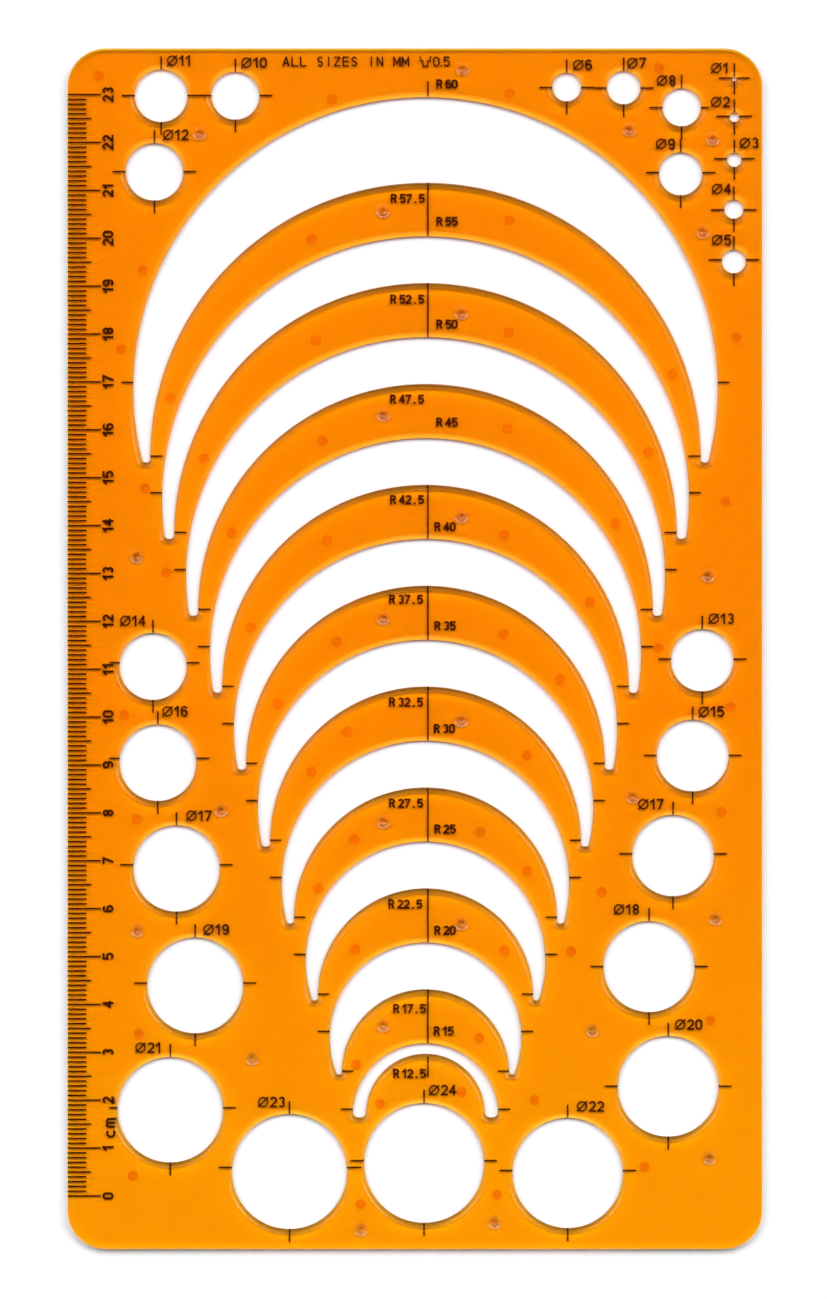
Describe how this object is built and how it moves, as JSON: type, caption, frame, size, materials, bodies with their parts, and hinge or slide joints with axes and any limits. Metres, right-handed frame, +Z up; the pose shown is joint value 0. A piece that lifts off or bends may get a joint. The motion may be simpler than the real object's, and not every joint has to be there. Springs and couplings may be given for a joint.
{
  "type": "circle template",
  "caption": "Flat see-through orange drawing template with round holes, nested arc openings and a centimetre edge scale.",
  "frame": {"origin": "middle of the sheet's outline, at the plane of the riser tips that rest on the paper", "axes": "+X across the sheet, away from the scale edge; +Y along its length, from the scale's zero towards its high end; +Z up, out of the smooth bevelled face that is read from above"},
  "size_m": [0.145, 0.2504, 0.0017],
  "materials": {
    "orange_plastic": "clear gloss, see-through orange",
    "black_ink": "flat printed ink"
  },
  "bodies": {
    "root": {"template_sheet": "orange_plastic", "scale_millimetre_ticks": "black_ink", "scale_half_centimetre_ticks": "black_ink", "scale_centimetre_ticks": "black_ink", "scale_numerals": "black_ink", "scale_unit_label": "black_ink", "hole_crosshair_ticks": "black_ink", "hole_size_labels": "black_ink", "arc_centreline_marks": "black_ink", "arc_centre_ticks": "black_ink", "arc_radius_labels": "black_ink", "sizes_note": "black_ink", "lead_allowance_mark": "black_ink"}
  },
  "joints": []
}
